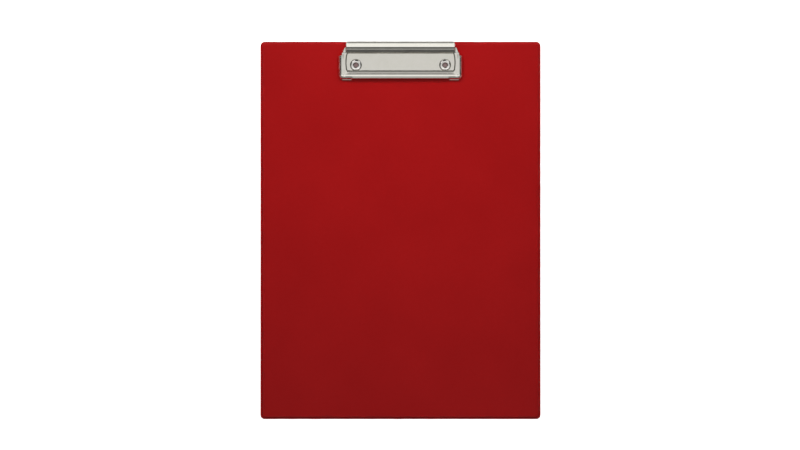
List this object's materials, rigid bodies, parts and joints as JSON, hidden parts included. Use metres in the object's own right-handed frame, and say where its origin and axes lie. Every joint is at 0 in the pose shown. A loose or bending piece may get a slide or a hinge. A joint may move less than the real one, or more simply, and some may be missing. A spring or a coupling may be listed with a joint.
{
  "type": "clipboard",
  "caption": "Film-covered clipboard for A4 paper with a wide sprung lever clip riveted along its top edge; the lever opens a jaw bar that holds the sheets.",
  "frame": {"origin": "centre of the board's footprint, on its back face", "axes": "+X to the right across the board, +Y along the board towards the clip, +Z out of the writing face"},
  "size_m": [0.236, 0.318, 0.014],
  "materials": {
    "red_film": "red soft PVC film with a fine satin grain",
    "greyboard": "raw grey millboard",
    "nickel_sheet": "bright nickel-plated pressed steel",
    "nickel_rivet": "polished nickel plate",
    "rod_steel": "drawn steel wire, lightly plated",
    "spring_steel": "oil-dark spring wire"
  },
  "bodies": {
    "board": {"front_cover": "red_film", "back_cover": "red_film", "board_core": "greyboard", "clip_base_plate": "nickel_sheet", "hinge_rod": "rod_steel", "spring_left": "spring_steel", "spring_right": "spring_steel", "rivet_left": "nickel_rivet", "rivet_right": "nickel_rivet", "rivet_washer_left": "nickel_rivet", "rivet_washer_right": "nickel_rivet"},
    "lever": {"lever_frame": "nickel_sheet"}
  },
  "joints": [
    {"name": "lever_hinge", "type": "hinge", "parent": "board", "child": "lever", "pos_m": [0, 0.1548, 0.00726], "axis": [-1, 0, 0], "range_deg": [0, 22], "stiffness_Nm_per_rad": 1.2, "springref_deg": -8.59, "deforming": ["spring_left", "spring_right"]}
  ]
}
